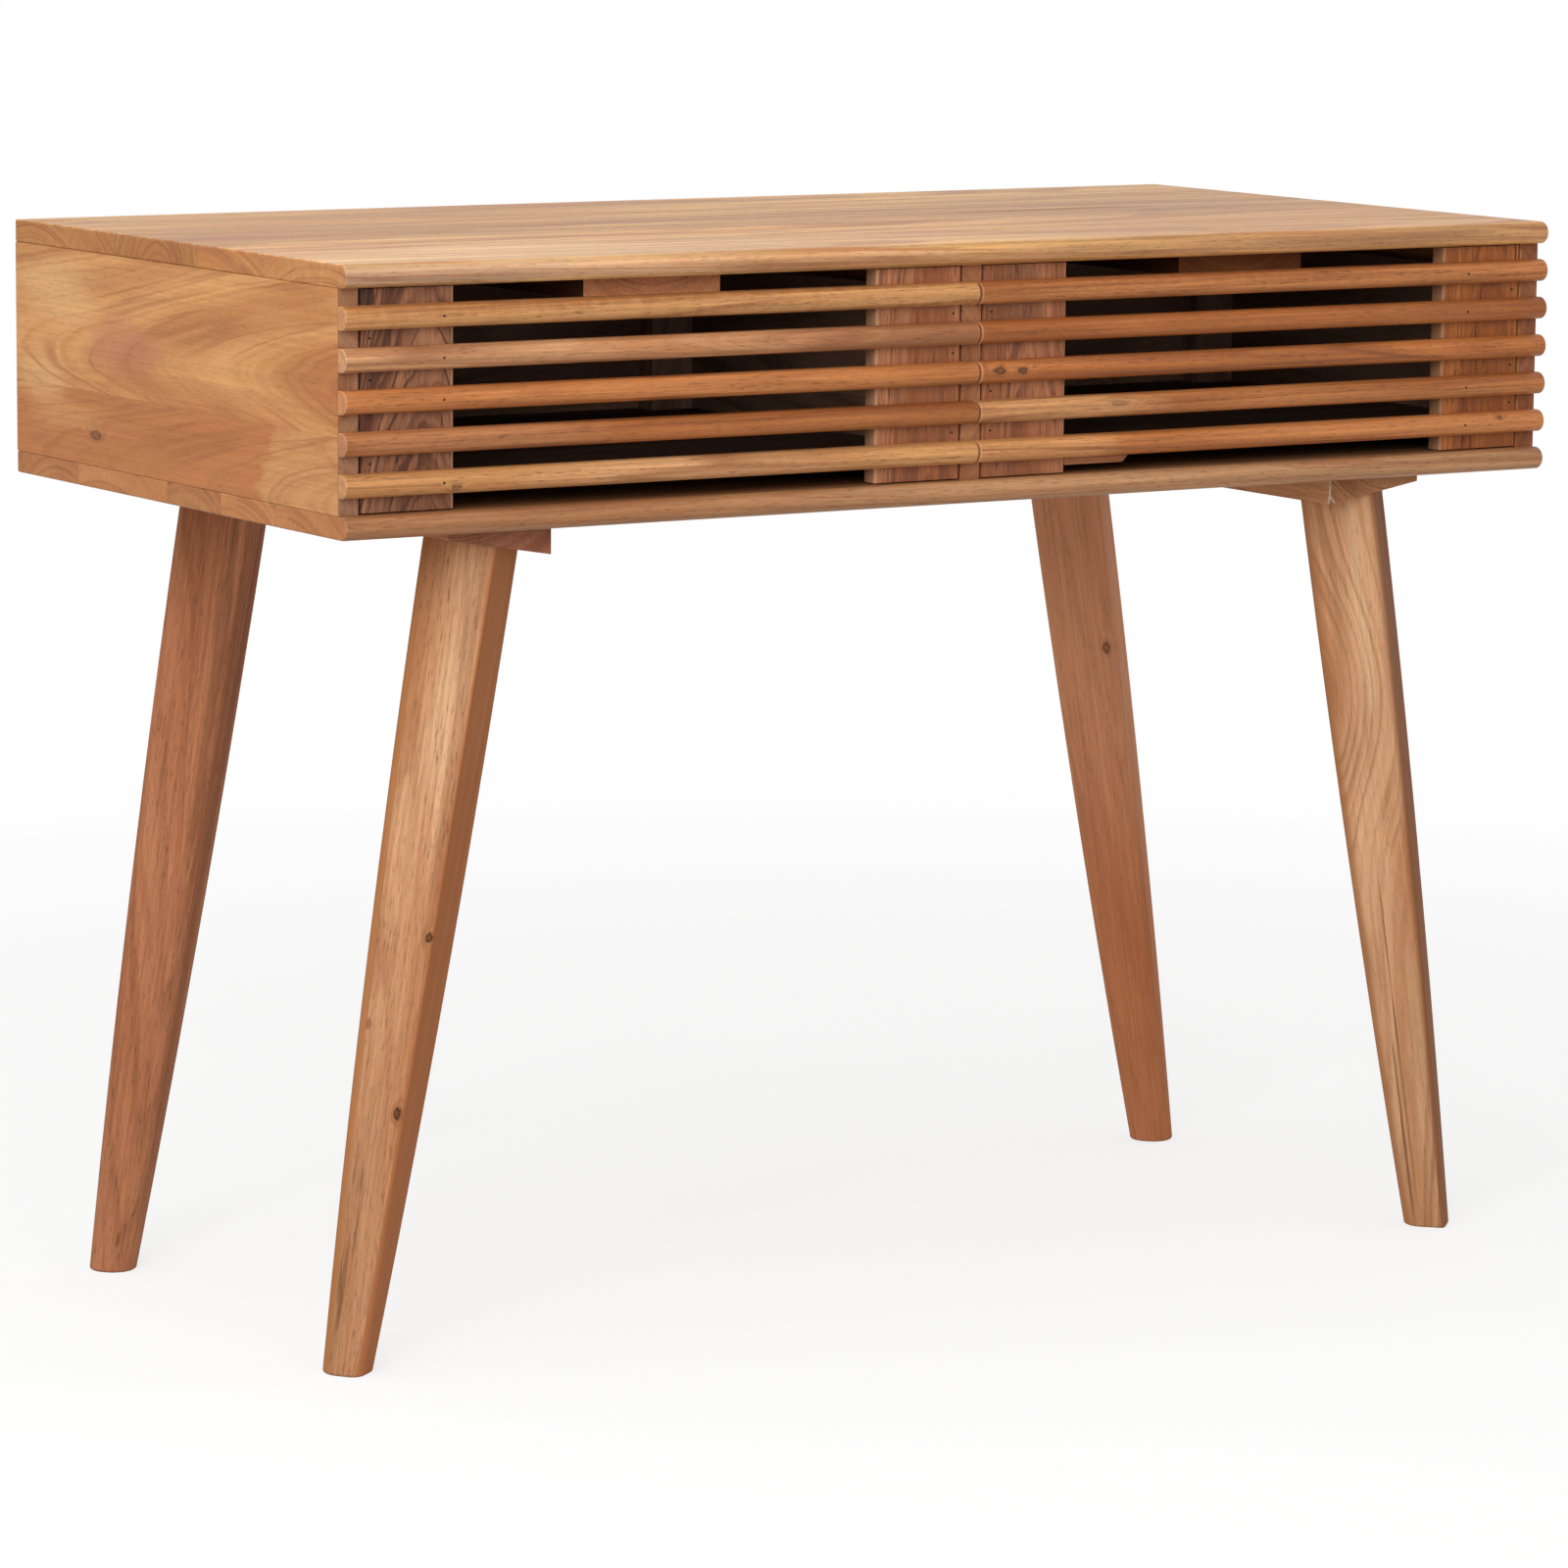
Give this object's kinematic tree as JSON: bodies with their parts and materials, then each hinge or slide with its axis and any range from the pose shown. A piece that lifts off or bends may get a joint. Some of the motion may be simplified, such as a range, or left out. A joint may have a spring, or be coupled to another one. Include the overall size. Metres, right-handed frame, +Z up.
{
  "type": "desk",
  "caption": "Shallow solid-wood desk on splayed tapered legs, with slatted drawer fronts side by side whose gaps serve as finger pulls.",
  "frame": {"origin": "on the floor under the centre of the case", "axes": "+X to the sitter's right along the desk, -Y towards the sitter, +Z up"},
  "size_m": [1, 0.5, 0.76],
  "materials": {
    "boards": "clear satin varnish",
    "slats": "clear satin varnish",
    "legs": "clear satin varnish",
    "drawer_boxes": "clear satin varnish",
    "blocks": "clear satin varnish",
    "steel": "zinc plated"
  },
  "bodies": {
    "case": {"top_board": "boards", "bottom_board": "boards", "left_side_panel": "boards", "right_side_panel": "boards", "centre_divider": "boards", "back_panel": "boards", "left_drawer_kicker": "boards", "right_drawer_kicker": "boards", "front_left_leg": "legs", "front_left_leg_block": "blocks", "front_right_leg": "legs", "front_right_leg_block": "blocks", "back_left_leg": "legs", "back_left_leg_block": "blocks", "back_right_leg": "legs", "back_right_leg_block": "blocks", "leg_bolts": "steel", "leg_insert_nuts": "steel", "block_screws": "steel", "kicker_screws": "steel", "case_dowels": "drawer_boxes"},
    "left_drawer": {"left_drawer_outer_stile": "drawer_boxes", "left_drawer_inner_stile": "drawer_boxes", "left_drawer_outer_side": "drawer_boxes", "left_drawer_inner_side": "drawer_boxes", "left_drawer_back": "drawer_boxes", "left_drawer_bottom": "drawer_boxes", "left_drawer_outer_post": "drawer_boxes", "left_drawer_inner_post": "drawer_boxes", "left_drawer_dowels": "drawer_boxes", "left_drawer_slat_1": "slats", "left_drawer_slat_2": "slats", "left_drawer_slat_3": "slats", "left_drawer_slat_4": "slats", "left_drawer_slat_5": "slats"},
    "right_drawer": {"right_drawer_outer_stile": "drawer_boxes", "right_drawer_inner_stile": "drawer_boxes", "right_drawer_outer_side": "drawer_boxes", "right_drawer_inner_side": "drawer_boxes", "right_drawer_back": "drawer_boxes", "right_drawer_bottom": "drawer_boxes", "right_drawer_outer_post": "drawer_boxes", "right_drawer_inner_post": "drawer_boxes", "right_drawer_dowels": "drawer_boxes", "right_drawer_slat_1": "slats", "right_drawer_slat_2": "slats", "right_drawer_slat_3": "slats", "right_drawer_slat_4": "slats", "right_drawer_slat_5": "slats"}
  },
  "joints": [
    {"name": "left_drawer_slide", "type": "slide", "parent": "case", "child": "left_drawer", "axis": [0, -1, 0], "range_m": [0, 0.3]},
    {"name": "right_drawer_slide", "type": "slide", "parent": "case", "child": "right_drawer", "axis": [0, -1, 0], "range_m": [0, 0.3]}
  ]
}
